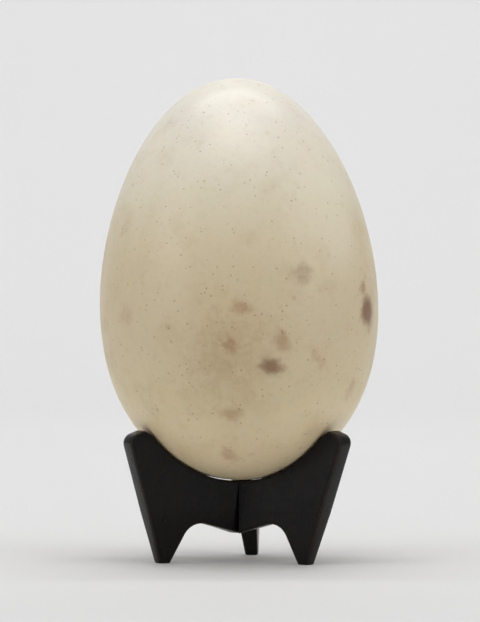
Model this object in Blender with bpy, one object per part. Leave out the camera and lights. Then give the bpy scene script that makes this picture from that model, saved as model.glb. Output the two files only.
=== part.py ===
"""A blown ostrich egg standing, blunt end down, in a black wooden stand.

The stand is three identical flat boards, mitred together along the upright axis at 120 degrees.
Each board has a foot, an arched underside, a straight outer edge that flares upwards, a rounded
horn at its tip, and a hollow upper edge cut to the outline of the egg. Below the arch both faces
of the board are planed off towards the foot, so each leg grows thinner as it goes down. All three
boards lean a little the same way, so that the feet stand a few degrees round from the horns. The
egg sits a degree out of upright, turned about the centre of curvature of its blunt end.
Metres, +Z up. The origin is on the stand's axis, on the surface that the feet stand on.
"""

import math

import bmesh
import bpy
import numpy as np
from mathutils import Euler, Matrix, Vector

# The egg: length, largest-section scale and the two terms that fill out its blunt end.
EGG_LENGTH = 0.1696
EGG_WIDTH_SCALE = 0.0582
EGG_TAPER = -0.136
EGG_FULLNESS = 0.0373
EGG_BASE_HEIGHT = 0.0341
EGG_TILT = math.radians(1.2)
EGG_TILT_HEIGHT = 0.0900
EGG_SIDES = 56
EGG_RINGS = 36

# Gap left between pieces that touch.
TOUCH_GAP = 0.0003

# The stand's boards, by radius from the axis and height above the floor.
BOARD_COUNT = 3
BOARD_THICKNESS = 0.0090
FOOT_THICKNESS = 0.0054
THINNED_BELOW = 0.0215
STAND_TURN = math.radians(4.5)
LEAN_SLOPE = 0.068
LEAN_CENTRE_HEIGHT = 0.0351
FOOT_OUTER_RADIUS = 0.0373
FOOT_INNER_RADIUS = 0.0325
FOOT_CORNER = 0.0009
ARCH_RADIUS = 0.0234
ARCH_HEIGHT = 0.0178
ARCH_CORNER = 0.0085
HUB_UNDERSIDE_HEIGHT = 0.0118
HORN_OUTER_RADIUS = 0.0536
HORN_OUTER_HEIGHT = 0.0532
HORN_OUTER_CORNER = 0.0042
HORN_INNER_RADIUS = 0.0462
HORN_INNER_HEIGHT = 0.0560
HORN_INNER_CORNER = 0.0016
SEAT_TOP_HEIGHT = 0.0536
SEAT_STEPS = 20
EASED_EDGE = 0.0008
PAST_AXIS = 0.0060

SHELL_COLOUR = (0.52, 0.44, 0.30, 1.0)
LACQUER_COLOUR = (0.012, 0.010, 0.009, 1.0)


def clear_scene():
    for thing in list(bpy.data.objects):
        bpy.data.objects.remove(thing, do_unlink=True)


def make_material(name, colour, roughness):
    material = bpy.data.materials.new(name)
    material.use_nodes = True
    shader = material.node_tree.nodes["Principled BSDF"]
    shader.inputs["Base Color"].default_value = colour
    shader.inputs["Roughness"].default_value = roughness
    shader.inputs["Metallic"].default_value = 0.0
    material.diffuse_color = colour
    return material


def egg_outline(along):
    """Radius and height of the egg's outline, for along from -1 at the blunt end to 1 at the other.

    The radius is that of an ellipse, times a quadratic in along that widens the blunt half.
    """
    swell = 1 + EGG_TAPER * along + EGG_FULLNESS * along**2
    radius = EGG_WIDTH_SCALE * np.sqrt(np.clip(1 - along**2, 0, None)) * swell
    height = EGG_BASE_HEIGHT + EGG_LENGTH / 2 * (1 + along)
    return radius, height


def seat_curve(highest):
    """Points under the egg's outline, from the axis up to a height, a small gap away from it.

    The gap is measured along the outline's normal.
    """
    top_angle = math.acos(1 - 2 * (highest - EGG_BASE_HEIGHT) / EGG_LENGTH)
    angle = np.linspace(0.0, top_angle, SEAT_STEPS)
    radius, height = egg_outline(-np.cos(angle))
    slope_r = np.gradient(radius, angle)
    slope_z = np.gradient(height, angle)
    shift = TOUCH_GAP / np.hypot(slope_r, slope_z)
    return np.column_stack([radius + shift * slope_z, height - shift * slope_r])


def rounded_corner(before, corner, after, radius, steps=6):
    """An arc of the given radius that replaces a corner between two straight lines."""
    to_before = (before - corner).normalized()
    to_after = (after - corner).normalized()
    half = to_before.angle(to_after) / 2
    centre = corner + (to_before + to_after).normalized() * radius / math.sin(half)
    first = corner + to_before * radius / math.tan(half) - centre
    last = corner + to_after * radius / math.tan(half) - centre
    sweep = first.angle_signed(last)
    return [centre + Matrix.Rotation(-sweep * i / steps, 2) @ first for i in range(steps + 1)]


def board_outline():
    """The board's outline in its own plane, X out from the axis and Y up, counter-clockwise."""
    seat = [Vector(point) for point in seat_curve(SEAT_TOP_HEIGHT)]
    horn_inner = Vector((HORN_INNER_RADIUS, HORN_INNER_HEIGHT))
    horn_outer = Vector((HORN_OUTER_RADIUS, HORN_OUTER_HEIGHT))
    foot_outer = Vector((FOOT_OUTER_RADIUS, 0.0))
    foot_inner = Vector((FOOT_INNER_RADIUS, 0.0))
    arch = Vector((ARCH_RADIUS, ARCH_HEIGHT))
    hub = Vector((0.0, HUB_UNDERSIDE_HEIGHT))
    points = [Vector((-PAST_AXIS, HUB_UNDERSIDE_HEIGHT)), hub]
    points += rounded_corner(hub, arch, foot_inner, ARCH_CORNER)
    points += rounded_corner(arch, foot_inner, foot_outer, FOOT_CORNER, 3)
    points += rounded_corner(foot_inner, foot_outer, horn_outer, FOOT_CORNER, 3)
    points += rounded_corner(foot_outer, horn_outer, horn_inner, HORN_OUTER_CORNER)
    points += rounded_corner(horn_outer, horn_inner, seat[-1], HORN_INNER_CORNER, 4)
    points += seat[::-1]
    points.append(Vector((-PAST_AXIS, seat[0].y)))
    return points


def ease_edges(bm):
    """Rounds every edge between a flat side of the board and its rim."""
    def is_side(face):
        return abs(face.normal.y) > 0.9
    rim = [e for e in bm.edges if len({is_side(f) for f in e.link_faces}) == 2]
    bmesh.ops.bevel(bm, geom=rim, offset=EASED_EDGE, segments=2, profile=0.5, affect="EDGES")


def thin_the_leg(bm):
    """Planes both faces below a crease, so that the thickness falls evenly with height to the foot."""
    crease = Vector((0.0, 0.0, THINNED_BELOW))
    geometry = bm.verts[:] + bm.edges[:] + bm.faces[:]
    bmesh.ops.bisect_plane(bm, geom=geometry, plane_co=crease, plane_no=(0.0, 0.0, 1.0))
    for vert in bm.verts:
        share = min(vert.co.z / THINNED_BELOW, 1.0)
        thickness = FOOT_THICKNESS + share * (BOARD_THICKNESS - FOOT_THICKNESS)
        vert.co.y *= thickness / BOARD_THICKNESS


def lean(bm):
    """Slides each level sideways by its height, which tips the board without raising the foot."""
    for vert in bm.verts:
        vert.co.y += LEAN_SLOPE * (vert.co.z - LEAN_CENTRE_HEIGHT)


def mitre_inner_end(bm):
    """Cuts the end at the axis to a wedge, so that the boards meet face to face."""
    half_wedge = math.pi / BOARD_COUNT
    for side in (-1, 1):
        outward = Vector((-math.sin(half_wedge), side * math.cos(half_wedge), 0.0))
        cut = bmesh.ops.bisect_plane(
            bm,
            geom=bm.verts[:] + bm.edges[:] + bm.faces[:],
            plane_co=-outward * TOUCH_GAP / 2,
            plane_no=outward,
            clear_outer=True,
        )
        edges = [item for item in cut["geom_cut"] if isinstance(item, bmesh.types.BMEdge)]
        bmesh.ops.contextual_create(bm, geom=edges)


def make_board_mesh(material):
    """One board, standing along +X from the axis, its thickness centred on the XZ plane."""
    mesh = bpy.data.meshes.new("stand_board")
    bm = bmesh.new()
    corners = [bm.verts.new((p.x, -BOARD_THICKNESS / 2, p.y)) for p in board_outline()]
    side = bm.faces.new(corners)
    pushed = bmesh.ops.extrude_face_region(bm, geom=[side])
    moved = [item for item in pushed["geom"] if isinstance(item, bmesh.types.BMVert)]
    bmesh.ops.translate(bm, verts=moved, vec=(0.0, BOARD_THICKNESS, 0.0))
    bmesh.ops.recalc_face_normals(bm, faces=bm.faces)
    ease_edges(bm)
    thin_the_leg(bm)
    lean(bm)
    mitre_inner_end(bm)
    bmesh.ops.recalc_face_normals(bm, faces=bm.faces)
    bm.to_mesh(mesh)
    bm.free()
    mesh.shade_smooth()
    mesh.set_sharp_from_angle(angle=math.radians(35))
    mesh.materials.append(material)
    return mesh


def make_stand(material):
    """Three boards round the axis, under an empty that turns the whole stand."""
    stand = bpy.data.objects.new("stand", None)
    stand.rotation_euler = Euler((0.0, 0.0, -math.pi / 2 - STAND_TURN))
    bpy.context.scene.collection.objects.link(stand)
    mesh = make_board_mesh(material)
    step = 2 * math.pi / BOARD_COUNT
    for name, turns in (("right", 0.5), ("back", 1.5), ("left", 2.5)):
        board = bpy.data.objects.new(f"stand_board_{name}", mesh)
        board.parent = stand
        board.rotation_euler = Euler((0.0, 0.0, turns * step))
        bpy.context.scene.collection.objects.link(board)


def make_egg(material):
    """The shell's outside as a closed surface of rings between two poles, tilted to the left."""
    bm = bmesh.new()
    along = -np.cos(np.linspace(0.0, math.pi, EGG_RINGS + 1))
    radius, height = egg_outline(along)
    turn = np.arange(EGG_SIDES) * 2 * math.pi / EGG_SIDES
    blunt_pole = bm.verts.new((0.0, 0.0, height[0]))
    rings = [
        [bm.verts.new((r * math.cos(t), r * math.sin(t), z)) for t in turn]
        for r, z in zip(radius[1:-1], height[1:-1])
    ]
    pointed_pole = bm.verts.new((0.0, 0.0, height[-1]))
    for i in range(EGG_SIDES):
        j = (i + 1) % EGG_SIDES
        bm.faces.new((blunt_pole, rings[0][j], rings[0][i]))
        bm.faces.new((pointed_pole, rings[-1][i], rings[-1][j]))
        for low, high in zip(rings, rings[1:]):
            bm.faces.new((low[i], low[j], high[j], high[i]))
    mesh = bpy.data.meshes.new("egg")
    bm.to_mesh(mesh)
    bm.free()
    mesh.shade_smooth()
    mesh.materials.append(material)
    egg = bpy.data.objects.new("egg", mesh)
    pivot = Vector((0.0, 0.0, EGG_TILT_HEIGHT))
    tilt = Matrix.Rotation(-EGG_TILT, 4, "Y")
    egg.matrix_world = Matrix.Translation(pivot) @ tilt @ Matrix.Translation(-pivot)
    bpy.context.scene.collection.objects.link(egg)


def main():
    clear_scene()
    make_egg(make_material("eggshell", SHELL_COLOUR, 0.42))
    make_stand(make_material("black_lacquered_wood", LACQUER_COLOUR, 0.30))


main()
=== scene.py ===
"""A stained, blown ostrich egg in its black lacquered stand, on a pale sweep under soft studio light.

Every piece is a surface worked out as one numpy grid. Lengths are metres in the model's own frame:
the axis of the stand is X = Y = 0, the floor is Z = 0 and the viewer stands on the -Y side.
"""

import math

import bpy
import numpy as np
from mathutils import Euler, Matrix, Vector


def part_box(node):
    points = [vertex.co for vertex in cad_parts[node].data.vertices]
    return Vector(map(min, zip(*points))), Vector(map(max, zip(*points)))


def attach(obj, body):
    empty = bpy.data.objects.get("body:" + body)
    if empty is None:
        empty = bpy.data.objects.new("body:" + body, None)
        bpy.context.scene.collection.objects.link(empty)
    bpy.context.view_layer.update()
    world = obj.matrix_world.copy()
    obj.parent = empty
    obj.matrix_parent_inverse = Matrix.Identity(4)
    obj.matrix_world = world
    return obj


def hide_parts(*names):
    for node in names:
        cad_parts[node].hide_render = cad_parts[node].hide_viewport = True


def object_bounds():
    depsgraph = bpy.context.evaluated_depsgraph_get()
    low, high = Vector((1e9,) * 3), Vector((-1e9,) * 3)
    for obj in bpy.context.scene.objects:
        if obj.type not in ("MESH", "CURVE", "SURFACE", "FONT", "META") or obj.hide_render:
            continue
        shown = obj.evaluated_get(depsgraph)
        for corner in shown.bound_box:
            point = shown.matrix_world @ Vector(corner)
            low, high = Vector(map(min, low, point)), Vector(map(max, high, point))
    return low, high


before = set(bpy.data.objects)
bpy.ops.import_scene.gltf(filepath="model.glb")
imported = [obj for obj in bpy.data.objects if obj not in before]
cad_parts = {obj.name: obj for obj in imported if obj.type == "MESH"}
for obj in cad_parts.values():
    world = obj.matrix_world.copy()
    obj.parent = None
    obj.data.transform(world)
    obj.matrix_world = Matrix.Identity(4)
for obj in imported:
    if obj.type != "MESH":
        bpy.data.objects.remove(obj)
cad_low, cad_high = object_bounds()

MM = 0.001

# ---------------------------------------------------------------- sizes read from the frame
EGG_LOW, EGG_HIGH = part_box("egg")
EGG_BASE = EGG_LOW.z
EGG_LENGTH = EGG_HIGH.z - EGG_LOW.z
EGG_RADIUS = (EGG_HIGH.y - EGG_LOW.y) / 2
OBJECT_HEIGHT = cad_high.z - cad_low.z

# ---------------------------------------------------------------- the egg
EGG_TAPER = -0.136
EGG_FULLNESS = 0.0373
EGG_TILT = math.radians(1.2)
EGG_TILT_HEIGHT = 90.0 * MM
EGG_COLUMNS = 440
EGG_ROWS = 218
# Unevenness of the shell. Each row: depth, width of one swelling, and the seed of its waves.
SHELL_WAVES = (
    (0.10 * MM, 60 * MM, 3),
    (0.035 * MM, 11 * MM, 4),
)
DIMPLE_COUNT = 70
DIMPLE_SEED = 11
DIMPLE_REACH = (1.3 * MM, 3.2 * MM)
DIMPLE_DEPTH = (0.02 * MM, 0.07 * MM)
DIMPLE_FREE_ROWS = 12

# ---------------------------------------------------------------- the stand's boards
BOARD_COUNT = 3
BOARD_THICKNESS = 9.0 * MM
FOOT_THICKNESS = 5.4 * MM
THINNED_BELOW = 21.5 * MM
STAND_TURN = math.radians(4.5)
LEAN_SLOPE = 0.068
LEAN_CENTRE_HEIGHT = 35.1 * MM
HUB_UNDERSIDE = Vector((0.0, 11.8)) * MM
ARCH = Vector((23.4, 17.8)) * MM
ARCH_CORNER = 8.5 * MM
FOOT_INNER = Vector((32.5, 0.0)) * MM
FOOT_OUTER = Vector((37.3, 0.0)) * MM
FOOT_CORNER = 0.9 * MM
HORN_OUTER = Vector((53.6, 53.2)) * MM
HORN_OUTER_CORNER = 4.2 * MM
HORN_INNER = Vector((46.2, 56.0)) * MM
HORN_INNER_CORNER = 1.6 * MM
SEAT_TOP_HEIGHT = 53.6 * MM
SEAT_GAP = 0.3 * MM
FACE_CENTRE = np.array((35.0, 27.0)) * MM
OUTLINE_STEP = 0.42 * MM
EASED_EDGE = 1.1 * MM
RIM_CROWN = 0.12 * MM
GLUE_LINE = 0.05 * MM
MITRE_REACH = 14.0 * MM
BOARD_WAVE = 0.06 * MM
BOARD_WAVE_WIDTH = 24 * MM
BOARD_WAVE_SEED = 20
SHARP_FROM = math.radians(38)
GRAIN_SHIFT = np.array((0.0, 0.0, 0.31))


# ================================================================ small geometry helpers

def ripple(points, feature, seed, waves=18):
    """Smooth undulation from -1 to 1: a sum of plane sine waves with seeded directions and phases.

    Wavelengths spread from 0.6 to 1.7 times the feature size.
    """
    draw = np.random.default_rng(seed)
    direction = draw.normal(size=(waves, 3))
    direction /= np.linalg.norm(direction, axis=1)[:, None]
    wavelength = feature * draw.uniform(0.6, 1.7, waves)
    phase = draw.uniform(0, 2 * math.pi, waves)
    angle = points @ (direction / wavelength[:, None]).T * 2 * math.pi + phase
    return np.sin(angle).sum(axis=-1) / math.sqrt(waves) / 1.6


def wrapped_mesh(name, grid):
    """A closed mesh from a grid of rows by columns: columns wrap round, and each end row is one pole.

    The rows between the poles become quads, and a fan of triangles closes each end.
    """
    rows, columns = grid.shape[:2]
    ring = grid[1:-1].reshape(-1, 3)
    points = np.vstack([grid[0, :1], ring, grid[-1, :1]])
    column = np.arange(columns)
    after = (column + 1) % columns
    row = np.arange(rows - 3)[:, None] * columns + 1
    quads = np.stack([row + column, row + after, row + columns + after, row + columns + column], -1)
    last = len(points) - 1
    top = 1 + (rows - 3) * columns
    first_fan = np.stack([np.zeros(columns, int), 1 + after, 1 + column], -1)
    last_fan = np.stack([np.full(columns, last), top + column, top + after], -1)
    faces = quads.reshape(-1, 4).tolist() + first_fan.tolist() + last_fan.tolist()
    mesh = bpy.data.meshes.new(name)
    mesh.from_pydata(points.tolist(), [], faces)
    mesh.shade_smooth()
    return mesh


def point_values(grid):
    """One value for each vertex of wrapped_mesh, from a grid of the same rows and columns."""
    return np.concatenate([grid[0, :1], grid[1:-1].reshape(-1, *grid.shape[2:]), grid[-1, :1]])


def add_attribute(mesh, name, values):
    """Stores one number, or one vector, for each vertex."""
    kind, field = ("FLOAT", "value") if values.ndim == 1 else ("FLOAT_VECTOR", "vector")
    mesh.attributes.new(name, kind, "POINT").data.foreach_set(field, values.astype(np.float32).ravel())


def show(mesh, material):
    """Links the mesh as an object at the origin, with its material."""
    mesh.materials.append(material)
    piece = bpy.data.objects.new(mesh.name, mesh)
    bpy.context.scene.collection.objects.link(piece)
    return piece


# ================================================================ shader helpers

class Wire:
    """A shader socket that takes arithmetic: each operator adds one Math node."""

    def __init__(self, shader, socket):
        self.shader = shader
        self.socket = socket

    def math(self, operation, *others):
        """This wire and the others, put through one Math node."""
        return self.shader.node("ShaderNodeMath", {"operation": operation}, [self, *others])

    def __add__(self, other):
        return self.math("ADD", other)

    def __sub__(self, other):
        return self.math("SUBTRACT", other)

    def __mul__(self, other):
        return self.math("MULTIPLY", other)

    def __truediv__(self, other):
        return self.math("DIVIDE", other)

    def __rsub__(self, other):
        return self.shader.node("ShaderNodeMath", {"operation": "SUBTRACT"}, [other, self])

    __radd__ = __add__
    __rmul__ = __mul__

    def largest(self, other):
        """The larger of the two values."""
        return self.math("MAXIMUM", other)

    def clamped(self):
        """The value kept between 0 and 1."""
        return self.shader.node("ShaderNodeClamp", {}, [self])


class Shader:
    """One material, its Principled shader, and one method that makes any node."""

    def __init__(self, name):
        self.material = bpy.data.materials.new(name)
        self.material.use_nodes = True
        self.tree = self.material.node_tree
        self.surface = self.tree.nodes["Principled BSDF"]

    def node(self, kind, settings, values=(), output=0):
        """Makes a node, sets it up, fills or links its sockets, and gives back one output as a Wire."""
        made = self.tree.nodes.new(kind)
        for key, setting in settings.items():
            if key == "stops":
                self.set_stops(made.color_ramp, setting)
            else:
                setattr(made, key, setting)
        pairs = values.items() if isinstance(values, dict) else enumerate(values)
        for socket, value in pairs:
            self.feed(made.inputs[socket], value)
        return Wire(self, made.outputs[output])

    def feed(self, socket, value):
        """Links a wire to the socket, or sets the socket's own value."""
        if isinstance(value, Wire):
            self.tree.links.new(value.socket, socket)
        else:
            socket.default_value = value

    def set_stops(self, ramp, stops):
        """Gives a colour ramp its places and colours."""
        while len(ramp.elements) < len(stops):
            ramp.elements.new(1.0)
        for element, (place, colour) in zip(ramp.elements, stops):
            element.position = place
            element.color = (*colour, 1.0)

    def place(self):
        """The point on the surface, in metres."""
        return self.node("ShaderNodeTexCoord", {}, output="Object")

    def attribute(self, name, output):
        """A value stored on the mesh's vertices."""
        return self.node("ShaderNodeAttribute", {"attribute_name": name}, output=output)

    def part(self, vector, axis):
        """One component of a vector."""
        return self.node("ShaderNodeSeparateXYZ", {}, [vector], output=axis)

    def scaled(self, vector, scale):
        """The vector stretched along each axis."""
        return self.node("ShaderNodeMapping", {"vector_type": "POINT"}, {"Vector": vector, "Scale": scale})

    def noise(self, vector, scale, detail=2.0, roughness=0.5, distortion=0.0, output="Fac"):
        """Cloudy noise with about this many features to the metre."""
        values = {"Vector": vector, "Scale": scale, "Detail": detail, "Roughness": roughness}
        values["Distortion"] = distortion
        return self.node("ShaderNodeTexNoise", {}, values, output=output)

    def cells(self, vector, scale):
        """Distance to the nearest of many scattered points."""
        return self.node("ShaderNodeTexVoronoi", {}, {"Vector": vector, "Scale": scale}, output="Distance")

    def ramp(self, value, low, high, to_low=0.0, to_high=1.0):
        """A smooth step from to_low to to_high as the value goes from low to high."""
        settings = {"interpolation_type": "SMOOTHSTEP"}
        return self.node("ShaderNodeMapRange", settings, [value, low, high, to_low, to_high])

    def mix(self, factor, first, second):
        """The first colour where the factor is 0 and the second where it is 1."""
        first = first if isinstance(first, Wire) else (*first, 1.0)
        second = second if isinstance(second, Wire) else (*second, 1.0)
        settings = {"data_type": "RGBA", "clamp_factor": True}
        return self.node("ShaderNodeMix", settings, {0: factor, 6: first, 7: second}, output=2)

    def tint(self, colour, factor, by):
        """The colour multiplied by another where the factor is 1."""
        by = by if isinstance(by, Wire) else (*by, 1.0)
        settings = {"data_type": "RGBA", "blend_type": "MULTIPLY", "clamp_factor": True}
        return self.node("ShaderNodeMix", settings, {0: factor, 6: colour, 7: by}, output=2)

    def moved(self, vector, by, amount):
        """The vector moved by a centred noise colour, up to half the amount each way."""
        centred = self.node("ShaderNodeVectorMath", {"operation": "SUBTRACT"}, [by, (0.5, 0.5, 0.5)])
        values = {0: centred, 1: (amount, amount, amount), 2: vector}
        return self.node("ShaderNodeVectorMath", {"operation": "MULTIPLY_ADD"}, values)

    def bump(self, height, distance, strength=1.0, below=None):
        """A normal that follows the height, laid over another where one is given."""
        values = {"Height": height, "Distance": distance, "Strength": strength}
        if below:
            values["Normal"] = below
        return self.node("ShaderNodeBump", {}, values, output="Normal")

    def finish(self, wires, numbers):
        """Links what varies to the Principled shader, and sets what is the same all over."""
        for socket, wire in wires.items():
            self.feed(self.surface.inputs[socket], wire)
        for socket, number in numbers.items():
            self.surface.inputs[socket].default_value = number
        return self.material


# ================================================================ the egg

def egg_shape(along):
    """Radius of the outline over its width scale, for along from -1, the blunt end, to 1.

    An ellipse's radius, times a quadratic in along that widens the blunt half.
    """
    swell = 1 + EGG_TAPER * along + EGG_FULLNESS * along**2
    return np.sqrt(np.clip(1 - along**2, 0, None)) * swell


EGG_WIDTH_SCALE = EGG_RADIUS / egg_shape(np.linspace(-1, 1, 4001)).max()


def egg_outline(along):
    """Radius and height of the egg's outline."""
    return EGG_WIDTH_SCALE * egg_shape(along), EGG_BASE + EGG_LENGTH / 2 * (1 + along)


def egg_grid():
    """The shell by polar angle and by turn: the outline spun round the axis, before the egg is tilted.

    Along its normal, the surface sinks by a few hundredths of a millimetre in low waves and dimples.
    """
    polar = np.linspace(0, math.pi, EGG_ROWS)[:, None]
    turn = np.arange(EGG_COLUMNS)[None, :] * 2 * math.pi / EGG_COLUMNS
    radius, height = egg_outline(-np.cos(polar))
    grid = np.stack([radius * np.cos(turn), radius * np.sin(turn), height + 0 * turn], -1)
    middle = np.array((0.0, 0.0, EGG_BASE + EGG_LENGTH / 2))
    outward = grid - middle
    outward[..., 2] *= (2 * EGG_RADIUS / EGG_LENGTH) ** 2
    outward /= np.linalg.norm(outward, axis=-1)[..., None]
    sink = -dimples(grid)
    for depth, feature, seed in SHELL_WAVES:
        sink += depth * (ripple(grid, feature, seed) - 1) / 2
    return grid + outward * sink[..., None]


def tilted(grid):
    """The egg's points turned about a centre on its axis, so that its top goes over to the left."""
    x = grid[..., 0]
    z = grid[..., 2] - EGG_TILT_HEIGHT
    across = x * math.cos(EGG_TILT) - z * math.sin(EGG_TILT)
    up = x * math.sin(EGG_TILT) + z * math.cos(EGG_TILT)
    return np.stack([across, grid[..., 1], up + EGG_TILT_HEIGHT], -1)


def dimples(grid):
    """Depth of a few dozen shallow round pits, each a raised-cosine hollow."""
    draw = np.random.default_rng(DIMPLE_SEED)
    depth = np.zeros(grid.shape[:2])
    for _ in range(DIMPLE_COUNT):
        row = draw.integers(DIMPLE_FREE_ROWS, EGG_ROWS - DIMPLE_FREE_ROWS)
        column = draw.integers(0, EGG_COLUMNS)
        reach = draw.uniform(*DIMPLE_REACH)
        away = np.linalg.norm(grid - grid[row, column], axis=-1) / reach
        depth += draw.uniform(*DIMPLE_DEPTH) * (1 + np.cos(math.pi * np.clip(away, 0, 1))) / 2
    return depth


# Stains by place on the untilted shell, the first row a broad darker zone over the lower front centre. Each
# row: degrees to the right of the front, height above the floor, width and height in millimetres, lean in
# degrees, strength, and which brown.
STAINS = (
    (-4, 88, 50, 58, 0, 0.42, "tea"),
    (26, 121, 14, 12, 20, 0.44, "umber"),
    (1, 107, 11, 9, 0, 0.50, "rust"),
    (-4, 92, 10, 9, 0, 0.52, "rust"),
    (17, 93, 13, 10, -25, 0.55, "rust"),
    (13, 83, 15, 11, -30, 0.80, "umber"),
    (34, 86, 22, 5, -38, 0.34, "rust"),
    (65, 104, 17, 17, 12, 1.00, "umber"),
    (61, 114, 10, 7, 30, 0.60, "rust"),
    (-4, 64, 11, 10, 0, 0.52, "rust"),
    (-11, 47, 10, 8, 0, 0.46, "rust"),
    (15, 157, 10, 8, 0, 0.20, "tea"),
    (5, 136, 11, 9, 0, 0.22, "tea"),
    (-46, 170, 14, 10, 20, 0.20, "tea"),
    (-58, 143, 13, 13, 0, 0.24, "tea"),
    (-53, 105, 13, 11, 0, 0.30, "rust"),
    (60, 73, 11, 10, 0, 0.34, "rust"),
    (105, 88, 30, 36, 15, 0.44, "tea"),
    (128, 128, 13, 17, -20, 0.55, "rust"),
    (150, 74, 19, 12, 30, 0.75, "umber"),
    (176, 110, 34, 26, 10, 0.40, "tea"),
    (196, 88, 12, 15, 0, 0.60, "rust"),
    (214, 128, 16, 10, -35, 0.60, "umber"),
    (-118, 96, 26, 30, 0, 0.42, "tea"),
    (-100, 66, 14, 10, 15, 0.55, "rust"),
    (-88, 122, 10, 14, 0, 0.40, "rust"),
)
BROWNS = {"tea": (0.70, 0.56, 0.44), "rust": (0.62, 0.40, 0.32), "umber": (0.38, 0.25, 0.20)}

# Pale patches: the first two are painted side light on the right and left flanks, the third a bleached
# patch. Place, size and lean as for the stains, then how far the ground fades to pale.
BLEACHED_AND_PAINTED_LIGHT = (
    (50, 148, 34, 78, 0, 0.46),
    (-54, 160, 26, 64, 0, 0.24),
    (-142, 150, 44, 52, 15, 0.40),
)
PALE = (0.84, 0.78, 0.62)
STAIN_REACH_IN = 30 * MM

# Ground colour of the shell, by share of its length from the blunt end. The lighter stops up to 0.13 are
# painted fill light on the shaded underside.
GROUND_AND_PAINTED_FILL = (
    (0.00, (0.900, 0.745, 0.475)),
    (0.07, (0.870, 0.710, 0.452)),
    (0.13, (0.790, 0.652, 0.418)),
    (0.22, (0.702, 0.586, 0.365)),
    (0.32, (0.666, 0.549, 0.353)),
    (0.52, (0.660, 0.552, 0.365)),
    (0.62, (0.680, 0.585, 0.410)),
    (0.72, (0.705, 0.638, 0.487)),
    (0.82, (0.742, 0.688, 0.572)),
    (0.92, (0.700, 0.660, 0.572)),
    (1.00, (0.700, 0.665, 0.580)),
)


def stain_mask(shader, warped, turn, height, width, tall, lean):
    """A soft-edged blob: 1 at a place on the shell and 0 past its size, on a warped surface point."""
    away = math.radians(turn)
    radius = egg_outline(2 * (height * MM - EGG_BASE) / EGG_LENGTH - 1)[0]
    centre = (radius * math.sin(away), -radius * math.cos(away), height * MM)
    turned = Euler((0, 0, away)).to_matrix() @ Euler((0, math.radians(-lean), 0)).to_matrix()
    values = {"Vector": warped, "Location": centre, "Rotation": turned.to_euler()}
    values["Scale"] = (width / 2 * MM, STAIN_REACH_IN, tall / 2 * MM)
    local = shader.node("ShaderNodeMapping", {"vector_type": "TEXTURE"}, values)
    distance = shader.node("ShaderNodeVectorMath", {"operation": "LENGTH"}, [local], output="Value")
    return shader.ramp(distance, 1.15, 0.25)


def eggshell():
    """Old ostrich shell: cream at the pointed end, tan below, stained, pored and softly glossy; painted
    light on its underside and flanks.
    """
    shader = Shader("eggshell")
    place = shader.attribute("shell_place", "Vector")
    level = (shader.part(place, "Z") - EGG_BASE) / EGG_LENGTH
    broad = shader.noise(place, 26, 3.0, 0.55)
    patch = shader.noise(place, 75, 4.0, 0.6)
    grain = shader.noise(place, 420, 3.0, 0.6)

    # Ground colour by height, with painted fill light towards the blunt end, its boundaries made uneven.
    uneven = level + (broad - 0.5) * 0.14 + (patch - 0.5) * 0.05
    ground = shader.node("ShaderNodeValToRGB", {"stops": GROUND_AND_PAINTED_FILL}, [uneven])
    ground = shader.tint(ground, shader.ramp(patch, 0.48, 0.72) * 0.55, (0.90, 0.86, 0.80))
    ground = shader.tint(ground, shader.ramp(grain, 0.50, 0.70) * 0.35, (0.90, 0.87, 0.83))

    # Pale patches, painted side light on the flanks and one bleached patch, then stains: blobs on a surface
    # point pushed about at two scales, the stains mottled most where they are faint.
    pushed = shader.moved(place, shader.noise(place, 60, 2.0, output="Color"), 8 * MM)
    for *spot, strength in BLEACHED_AND_PAINTED_LIGHT:
        ground = shader.mix(stain_mask(shader, pushed, *spot) * strength, ground, PALE)
    pushed = shader.moved(pushed, shader.noise(place, 240, 3.0, output="Color"), 3.0 * MM)
    mottle = shader.noise(place, 210, 5.0, 0.68)
    for name, brown in BROWNS.items():
        shape = None
        for turn, height, width, tall, lean, strength, kind in STAINS:
            if kind == name:
                blob = stain_mask(shader, pushed, turn, height, width, tall, lean) * strength
                shape = blob if shape is None else shape.largest(blob)
        broken = shader.ramp(mottle + shape * 0.45, 0.42, 0.78, 0.35, 1.10)
        ground = shader.tint(ground, (shape * broken).clamped(), brown)

    # Scattered freckles and the pores, which are pinpricks in shallow hollows.
    freckle_cell = shader.cells(pushed, 115)
    freckles = shader.ramp(freckle_cell, 0.20, 0.06) * shader.ramp(shader.noise(place, 38, 2.0), 0.50, 0.66)
    ground = shader.tint(ground, freckles * 0.30, (0.55, 0.38, 0.28))
    pore_cell = shader.cells(place, 330)
    pores = shader.ramp(pore_cell, 0.17, 0.07) * shader.ramp(shader.noise(place, 120, 2.0), 0.36, 0.52)
    ground = shader.tint(ground, pores * 0.55, (0.50, 0.38, 0.30))

    # Polish worn unevenly, over pores, fine tooth and slow waves.
    rough = shader.ramp(patch, 0.30, 0.70, 0.34, 0.46) + pores * 0.25 + (grain - 0.5) * 0.08
    relief = shader.bump(0.0 - pores, 0.12 * MM)
    relief = shader.bump(shader.noise(place, 620, 3.0, 0.55), 0.05 * MM, below=relief)
    relief = shader.bump(shader.noise(place, 150, 2.0, 0.5), 0.10 * MM, below=relief)
    wires = {"Base Color": ground, "Roughness": rough, "Normal": relief}
    numbers = {"IOR": 1.50, "Specular IOR Level": 0.5, "Coat Weight": 0.12, "Coat Roughness": 0.30}
    numbers.update({"Subsurface Weight": 0.06, "Subsurface Scale": 4 * MM})
    return shader.finish(wires, numbers)


def make_egg(material):
    """The tilted shell, which keeps its upright points for the shader to read."""
    upright = egg_grid()
    mesh = wrapped_mesh("shell", tilted(upright))
    add_attribute(mesh, "shell_place", point_values(upright))
    egg = show(mesh, material)
    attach(egg, "root")
    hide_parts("egg")


# ================================================================ the stand

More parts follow.
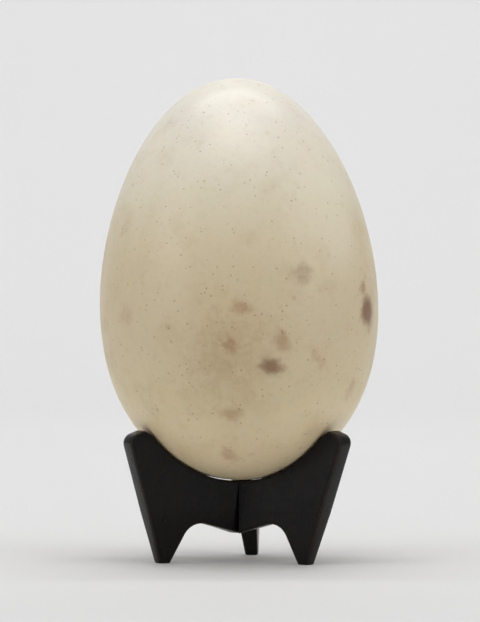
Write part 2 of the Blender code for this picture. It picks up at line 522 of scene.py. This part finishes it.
def rounded_corner(before, corner, after, radius, steps=24):
    """The arc that replaces a corner: points on a circle touching both straight lines."""
    to_before = (before - corner).normalized()
    to_after = (after - corner).normalized()
    half = to_before.angle(to_after) / 2
    centre = corner + (to_before + to_after).normalized() * radius / math.sin(half)
    start = corner + to_before * radius / math.tan(half) - centre
    end = corner + to_after * radius / math.tan(half) - centre
    sweep = np.linspace(0, -start.angle_signed(end), steps)
    first = math.atan2(start.y, start.x) + sweep
    return np.column_stack([centre.x + radius * np.cos(first), centre.y + radius * np.sin(first)])


def seat_curve():
    """The hollow upper edge: the egg's outline moved out along its normal, from the axis upwards."""
    top = math.acos(1 - 2 * (SEAT_TOP_HEIGHT - EGG_BASE) / EGG_LENGTH)
    angle = np.linspace(0, top, 160)
    radius, height = egg_outline(-np.cos(angle))
    slope_r = np.gradient(radius, angle)
    slope_z = np.gradient(height, angle)
    length = np.hypot(slope_r, slope_z)
    shift = SEAT_GAP / length
    curve = np.column_stack([radius + shift * slope_z, height - shift * slope_r])
    curve[0, 0] = 0.0
    return curve


def board_outline():
    """The board's edge from the hub's underside round to the top of the hub, at even steps.

    Straight lines with rounded corners, then the seat curve; then resampled by its own length.
    """
    seat = seat_curve()
    seat_top = Vector(seat[-1])
    parts = [
        np.array([HUB_UNDERSIDE]),
        rounded_corner(HUB_UNDERSIDE, ARCH, FOOT_INNER, ARCH_CORNER),
        rounded_corner(ARCH, FOOT_INNER, FOOT_OUTER, FOOT_CORNER),
        rounded_corner(FOOT_INNER, FOOT_OUTER, HORN_OUTER, FOOT_CORNER),
        rounded_corner(FOOT_OUTER, HORN_OUTER, HORN_INNER, HORN_OUTER_CORNER),
        rounded_corner(HORN_OUTER, HORN_INNER, seat_top, HORN_INNER_CORNER),
        seat[::-1],
    ]
    points = np.vstack(parts)
    step = np.hypot(*np.diff(points, axis=0).T)
    walked = np.concatenate([[0.0], np.cumsum(step)])
    even = np.linspace(0, walked[-1], int(walked[-1] / OUTLINE_STEP))
    return np.column_stack([np.interp(even, walked, points[:, 0]), np.interp(even, walked, points[:, 1])])


def inward_normals(outline):
    """Unit normals of the outline, pointing into the board."""
    slope = np.gradient(outline, axis=0)
    slope /= np.hypot(slope[:, 0], slope[:, 1])[:, None]
    return np.column_stack([-slope[:, 1], slope[:, 0]])


def thickness_profile():
    """The way across the board, from the middle of one face over the rim to the other face.

    Gives, step by step: how far out from the face's centre, as a share; the inset from the outline;
    the place across the thickness, as a share of half of it; and where the eased edges lie.
    """
    half = BOARD_THICKNESS / 2
    face = 1 - np.linspace(1, 0, 22) ** 1.6
    bend = np.linspace(0, math.pi / 2, 8)[1:-1]
    rim = np.linspace(1, -1, 13) * (half - EASED_EDGE)
    share = np.concatenate([face, np.ones(len(bend)), np.ones(len(rim)), np.ones(len(bend)), face[::-1]])
    inset_face = np.full(len(face), EASED_EDGE)
    inset_bend = EASED_EDGE * (1 - np.sin(bend))
    inset_rim = -RIM_CROWN * (1 - (rim / rim[0]) ** 2)
    inset = np.concatenate([inset_face, inset_bend, inset_rim, inset_bend[::-1], inset_face])
    across_face = np.full(len(face), half)
    across_bend = half - EASED_EDGE * (1 - np.cos(bend))
    across = np.concatenate([across_face, across_bend, rim, -across_bend[::-1], -across_face])
    edge_bend = np.sin(2 * bend)
    edge = np.concatenate([face**12 * 0.5, edge_bend, 0 * rim, edge_bend, face[::-1] ** 12 * 0.5])
    return share, inset, across, edge


def board_grid():
    """One board in its own plane, X out from the axis and Y across the thickness, as rows of rings.

    Each ring is the outline, inset and shrunk towards the face's centre. The mitred end is straight,
    so rings gain points down it, and every point near the axis is pushed out to the mitre planes.
    The board thins towards the foot, and leans: each level slides sideways by its height.
    """
    outline = board_outline()
    normals = inward_normals(outline)
    share, inset, across, edge = (values[:, None] for values in thickness_profile())
    top, bottom = outline[-1, 1], outline[0, 1]
    down = np.linspace(top, bottom, int((top - bottom) / OUTLINE_STEP))[3:-3]
    end = np.column_stack([0 * down, down])
    path = np.vstack([outline, end])
    turned_in = np.vstack([normals, 0 * end])
    flat = path[None] + turned_in[None] * inset[..., None]
    flat = FACE_CENTRE + (flat - FACE_CENTRE) * share[..., None]
    out, up = flat[..., 0], flat[..., 1]
    lift = np.clip(up / THINNED_BELOW, 0, 1)
    thin = (FOOT_THICKNESS + lift * (BOARD_THICKNESS - FOOT_THICKNESS)) / BOARD_THICKNESS
    side = across * thin + LEAN_SLOPE * (up - LEAN_CENTRE_HEIGHT)
    mitre = np.abs(side) / math.tan(math.pi / BOARD_COUNT) + GLUE_LINE
    out = out + mitre * np.clip(1 - out / MITRE_REACH, 0, 1)
    return np.stack([out, side, up], -1), edge + 0 * up


def lacquered_wood():
    """Black lacquer over close-grained wood, rubbed thin and brownish along the eased edges."""
    shader = Shader("black_lacquered_wood")
    place = shader.attribute("board_place", "Vector")
    edge = shader.attribute("eased", "Fac")
    along = shader.scaled(place, (1.0, 1.0, 0.12))
    fibre = shader.noise(along, 900, 4.0, 0.6, 0.4)
    figure = shader.noise(along, 160, 3.0, 0.55, 1.2)
    cloud = shader.noise(place, 55, 3.0, 0.6)
    rubbed = shader.ramp(edge * 0.75 + shader.noise(place, 300, 4.0, 0.65) * 0.55, 0.62, 1.0)
    colour = shader.mix(figure, (0.0040, 0.0034, 0.0033), (0.0075, 0.0060, 0.0056))
    colour = shader.mix(shader.ramp(fibre, 0.52, 0.66) * 0.5, colour, (0.0110, 0.0080, 0.0066))
    colour = shader.mix(rubbed * 0.45, colour, (0.040, 0.024, 0.016))
    upward = shader.part(shader.node("ShaderNodeNewGeometry", {}, output="Normal"), "Z")
    specks = shader.ramp(shader.noise(place, 1500, 3.0, 0.7), 0.52, 0.68)
    dust = shader.ramp(upward, 0.15, 0.95) * (specks * 0.6 + 0.25) * shader.ramp(cloud, 0.3, 0.7, 0.4, 1.0)
    colour = shader.mix(dust * 0.10, colour, (0.30, 0.28, 0.25))
    rough = shader.ramp(cloud, 0.3, 0.7, 0.24, 0.34) + rubbed * 0.16 + dust * 0.25 + (fibre - 0.5) * 0.06
    relief = shader.bump(fibre, 0.035 * MM)
    relief = shader.bump(shader.noise(place, 130, 2.0), 0.16 * MM, below=relief)
    wires = {"Base Color": colour, "Roughness": rough, "Normal": relief}
    numbers = {"IOR": 1.50, "Specular IOR Level": 0.13, "Coat Weight": 0.05, "Coat Roughness": 0.14}
    return shader.finish(wires, numbers)


def make_stand(material):
    """The same board three times, a third of a turn apart, each with its own faint waves and grain."""
    grid, edge = board_grid()
    for number, side in enumerate(("right", "back", "left")):
        turn = (number + 0.5) * 2 * math.pi / BOARD_COUNT - math.pi / 2 - STAND_TURN
        own = grid.copy()
        own[..., 1] += BOARD_WAVE * ripple(grid, BOARD_WAVE_WIDTH, BOARD_WAVE_SEED + number)
        own[..., 2] = np.maximum(own[..., 2], 0.0)
        x = own[..., 0] * math.cos(turn) - own[..., 1] * math.sin(turn)
        y = own[..., 0] * math.sin(turn) + own[..., 1] * math.cos(turn)
        mesh = wrapped_mesh(f"board_{side}", np.stack([x, y, own[..., 2]], -1))
        mesh.set_sharp_from_angle(angle=SHARP_FROM)
        add_attribute(mesh, "board_place", point_values(own + GRAIN_SHIFT * number))
        add_attribute(mesh, "eased", point_values(edge))
        board = show(mesh, material)
        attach(board, "root")
        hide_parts(f"stand_board_{side}")


# ================================================================ the studio

VIEW_DISTANCE = 1.7
VIEW_ELEVATION = math.radians(0.8)
OBJECT_SHARE_OF_HEIGHT = 0.7765
AIM_SHARE_OF_HEIGHT = 0.5175
FILM_HEIGHT = 36.0
PAPER = (0.62, 0.62, 0.62)
PAPER_CLOUDED = (0.6107, 0.6107, 0.6107)

# The sweep: where its floor starts, how far back it runs, the bend's radius, its height and half width.
SWEEP_FRONT = -0.80
SWEEP_REACH = 1.6
SWEEP_BEND = 1.2
SWEEP_TALL = 3.4
SWEEP_HALF_WIDTH = 4.0

# The room's strength all round and behind the camera, and the directions between which it changes.
DOME = 0.3
DOME_FRONT = 0.02
DOME_CHANGE = (-0.95, -0.35)

# Softboxes. Each row: name, place, what it points at, width and height, and watts.
MIDDLE = (0.0, 0.0, 0.11)
SOFTBOXES = (
    ("overhead", (0.0, -0.30, 1.60), MIDDLE, (1.1, 0.9), 9.6),
    ("front_high", (0.0, -2.0, 1.9), MIDDLE, (2.4, 1.4), 10.6),
    ("back_wash", (0.0, 0.9, 2.6), (0.0, 3.0, 0.6), (3.0, 0.5), 70.0),
    ("left_side", (-1.6, -0.9, 0.9), MIDDLE, (1.1, 1.4), 10.5),
    ("right_side", (1.6, -0.9, 0.9), MIDDLE, (1.1, 1.4), 10.5),
)


def sweep_grid():
    """A paper sweep: flat floor, a quarter-round bend and an upright back, drawn out sideways."""
    angle = np.linspace(0, math.pi / 2, 24)
    wall = SWEEP_REACH + SWEEP_BEND
    y = np.concatenate([[SWEEP_FRONT, 0.0], SWEEP_REACH + SWEEP_BEND * np.sin(angle), [wall]])
    z = np.concatenate([[0.0, 0.0], SWEEP_BEND * (1 - np.cos(angle)), [SWEEP_TALL]])
    x = np.linspace(-SWEEP_HALF_WIDTH, SWEEP_HALF_WIDTH, 9)
    return np.stack([x[None] + 0 * y[:, None], y[:, None] + 0 * x, z[:, None] + 0 * x], -1)


def sheet_mesh(name, grid):
    """An open mesh of quads from a grid of rows by columns."""
    rows, columns = grid.shape[:2]
    corner = (np.arange(rows - 1)[:, None] * columns + np.arange(columns - 1)).ravel()
    faces = np.stack([corner, corner + 1, corner + columns + 1, corner + columns], -1)
    mesh = bpy.data.meshes.new(name)
    mesh.from_pydata(grid.reshape(-1, 3).tolist(), [], faces.tolist())
    mesh.shade_smooth()
    return mesh


def pale_paper():
    """Matt white paper, faintly clouded, with a fine tooth."""
    shader = Shader("pale_paper")
    place = shader.place()
    cloud = shader.noise(place, 3.0, 3.0, 0.5)
    colour = shader.mix(cloud, PAPER_CLOUDED, PAPER)
    relief = shader.bump(shader.noise(place, 900, 2.0), 0.05 * MM, 0.3)
    return shader.finish({"Base Color": colour, "Normal": relief}, {"Roughness": 0.75, "IOR": 1.4})


def add_softbox(name, place, aim, size, watts):
    """A rectangular area light at a place, pointed at another."""
    light = bpy.data.lights.new(name, "AREA")
    light.shape = "RECTANGLE"
    light.size, light.size_y = size
    light.energy = watts
    box = bpy.data.objects.new(name, light)
    box.location = place
    box.rotation_euler = (Vector(aim) - Vector(place)).to_track_quat("-Z", "Y").to_euler()
    bpy.context.scene.collection.objects.link(box)


def make_dome():
    """The room round the table: even light from above and the sides, dimmer behind the camera."""
    world = bpy.data.worlds.new("studio")
    world.use_nodes = True
    tree = world.node_tree
    background = tree.nodes["Background"]
    coordinates = tree.nodes.new("ShaderNodeTexCoord")
    split = tree.nodes.new("ShaderNodeSeparateXYZ")
    ramp = tree.nodes.new("ShaderNodeMapRange")
    ramp.interpolation_type = "SMOOTHSTEP"
    for socket, value in zip(("From Min", "From Max", "To Min", "To Max"), (*DOME_CHANGE, DOME_FRONT, DOME)):
        ramp.inputs[socket].default_value = value
    tree.links.new(coordinates.outputs["Generated"], split.inputs["Vector"])
    tree.links.new(split.outputs["Y"], ramp.inputs["Value"])
    tree.links.new(ramp.outputs["Result"], background.inputs["Strength"])
    background.inputs["Color"].default_value = (1.0, 1.0, 1.0, 1.0)
    bpy.context.scene.world = world


def make_studio():
    """The sweep, the room round it and the softboxes."""
    sweep = show(sheet_mesh("paper_sweep", sweep_grid()), pale_paper())
    make_dome()
    for row in SOFTBOXES:
        add_softbox(*row)
    bpy.context.scene.view_settings.view_transform = "Standard"


def make_camera():
    """A long lens, a little above level, set so that the object fills its share of the height."""
    seen_height = OBJECT_HEIGHT / OBJECT_SHARE_OF_HEIGHT
    lens = bpy.data.cameras.new("camera")
    lens.sensor_fit = "VERTICAL"
    lens.sensor_height = FILM_HEIGHT
    lens.lens = FILM_HEIGHT * VIEW_DISTANCE / seen_height
    lens.clip_start = 0.05
    lens.clip_end = 30.0
    camera = bpy.data.objects.new("camera", lens)
    aim = Vector((0.0, 0.0, cad_low.z + AIM_SHARE_OF_HEIGHT * OBJECT_HEIGHT))
    back = Vector((0.0, -math.cos(VIEW_ELEVATION), math.sin(VIEW_ELEVATION)))
    camera.location = aim + back * VIEW_DISTANCE
    camera.rotation_euler = (-back).to_track_quat("-Z", "Y").to_euler()
    bpy.context.scene.collection.objects.link(camera)
    bpy.context.scene.camera = camera


make_camera()
make_studio()
make_egg(eggshell())
make_stand(lacquered_wood())
